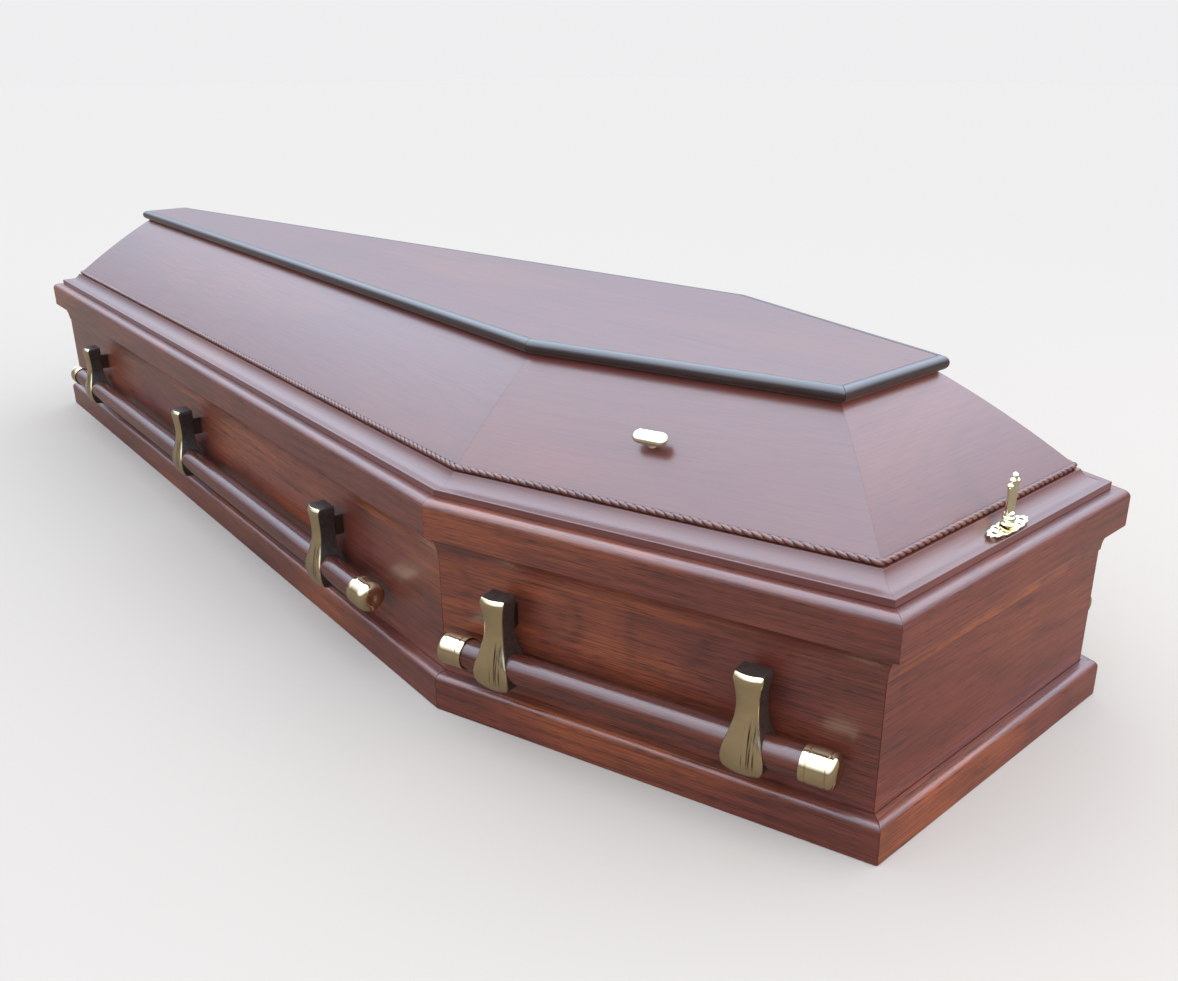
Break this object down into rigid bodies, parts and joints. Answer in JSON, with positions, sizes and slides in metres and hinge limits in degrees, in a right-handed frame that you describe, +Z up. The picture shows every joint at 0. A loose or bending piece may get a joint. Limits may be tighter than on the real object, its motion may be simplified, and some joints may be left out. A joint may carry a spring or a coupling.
{
  "type": "wooden coffin",
  "caption": "Six-sided shouldered wooden coffin, hollow, with a raised moulded lid, a rope bead, swinging bar handles with capped ends and lid screws.",
  "frame": {"origin": "centre of the underside, half way along the length, on the ground", "axes": "+X towards the head end, which is the end nearer the shoulders, +Y towards the left side of someone lying inside, +Z up"},
  "size_m": [2.05, 0.7476, 0.3958],
  "materials": {
    "box_wood": "semi-gloss red-brown stained ash or oak",
    "lid_wood": "semi-gloss red-brown stained ash or oak",
    "edge_wood": "semi-gloss dark brown stained wood",
    "bar_wood": "semi-gloss red-brown turned wood",
    "fittings": "polished pale gold"
  },
  "bodies": {
    "coffin": {"bottom_board": "box_wood", "lid_bullnose": "edge_wood", "lid_frame": "lid_wood", "lid_knob_left": "fittings", "lid_knob_right": "fittings", "lid_screw_foot": "fittings", "lid_screw_head": "fittings", "lid_screw_plate_foot": "fittings", "lid_screw_plate_head": "fittings", "lid_slope_foot": "lid_wood", "lid_slope_head": "lid_wood", "lid_slope_left_long": "lid_wood", "lid_slope_left_short": "lid_wood", "lid_slope_right_long": "lid_wood", "lid_slope_right_short": "lid_wood", "lid_top_panel": "lid_wood", "lug_left_long_1": "fittings", "lug_left_long_2": "fittings", "lug_left_long_3": "fittings", "lug_left_short_1": "fittings", "lug_left_short_2": "fittings", "lug_right_long_1": "fittings", "lug_right_long_2": "fittings", "lug_right_long_3": "fittings", "lug_right_short_1": "fittings", "lug_right_short_2": "fittings", "plinth": "box_wood", "rim_moulding": "box_wood", "rope_bead": "lid_wood", "wall_foot": "box_wood", "wall_head": "box_wood", "wall_left_long": "box_wood", "wall_left_short": "box_wood", "wall_right_long": "box_wood", "wall_right_short": "box_wood"},
    "handle_right_long": {"arm_right_long_1": "fittings", "arm_right_long_2": "fittings", "arm_right_long_3": "fittings", "bar_right_long": "bar_wood", "cap_right_long_1": "fittings", "cap_right_long_2": "fittings"},
    "handle_right_short": {"arm_right_short_1": "fittings", "arm_right_short_2": "fittings", "bar_right_short": "bar_wood", "cap_right_short_1": "fittings", "cap_right_short_2": "fittings"},
    "handle_left_long": {"arm_left_long_1": "fittings", "arm_left_long_2": "fittings", "arm_left_long_3": "fittings", "bar_left_long": "bar_wood", "cap_left_long_1": "fittings", "cap_left_long_2": "fittings"},
    "handle_left_short": {"arm_left_short_1": "fittings", "arm_left_short_2": "fittings", "bar_left_short": "bar_wood", "cap_left_short_1": "fittings", "cap_left_short_2": "fittings"}
  },
  "joints": [
    {"name": "right_long_handle_swing", "type": "hinge", "parent": "coffin", "child": "handle_right_long", "pos_m": [-0.24859, -0.29038, 0.1426], "axis": [-0.9958, 0.0914, 0], "range_deg": [0, 27]},
    {"name": "right_short_handle_swing", "type": "hinge", "parent": "coffin", "child": "handle_right_short", "pos_m": [0.76024, -0.29611, 0.1426], "axis": [-0.9646, -0.2637, 0], "range_deg": [0, 27]},
    {"name": "left_long_handle_swing", "type": "hinge", "parent": "coffin", "child": "handle_left_long", "pos_m": [-0.24859, 0.29038, 0.1426], "axis": [0.9958, 0.0914, 0], "range_deg": [0, 27]},
    {"name": "left_short_handle_swing", "type": "hinge", "parent": "coffin", "child": "handle_left_short", "pos_m": [0.76024, 0.29611, 0.1426], "axis": [0.9646, -0.2637, 0], "range_deg": [0, 27]}
  ]
}
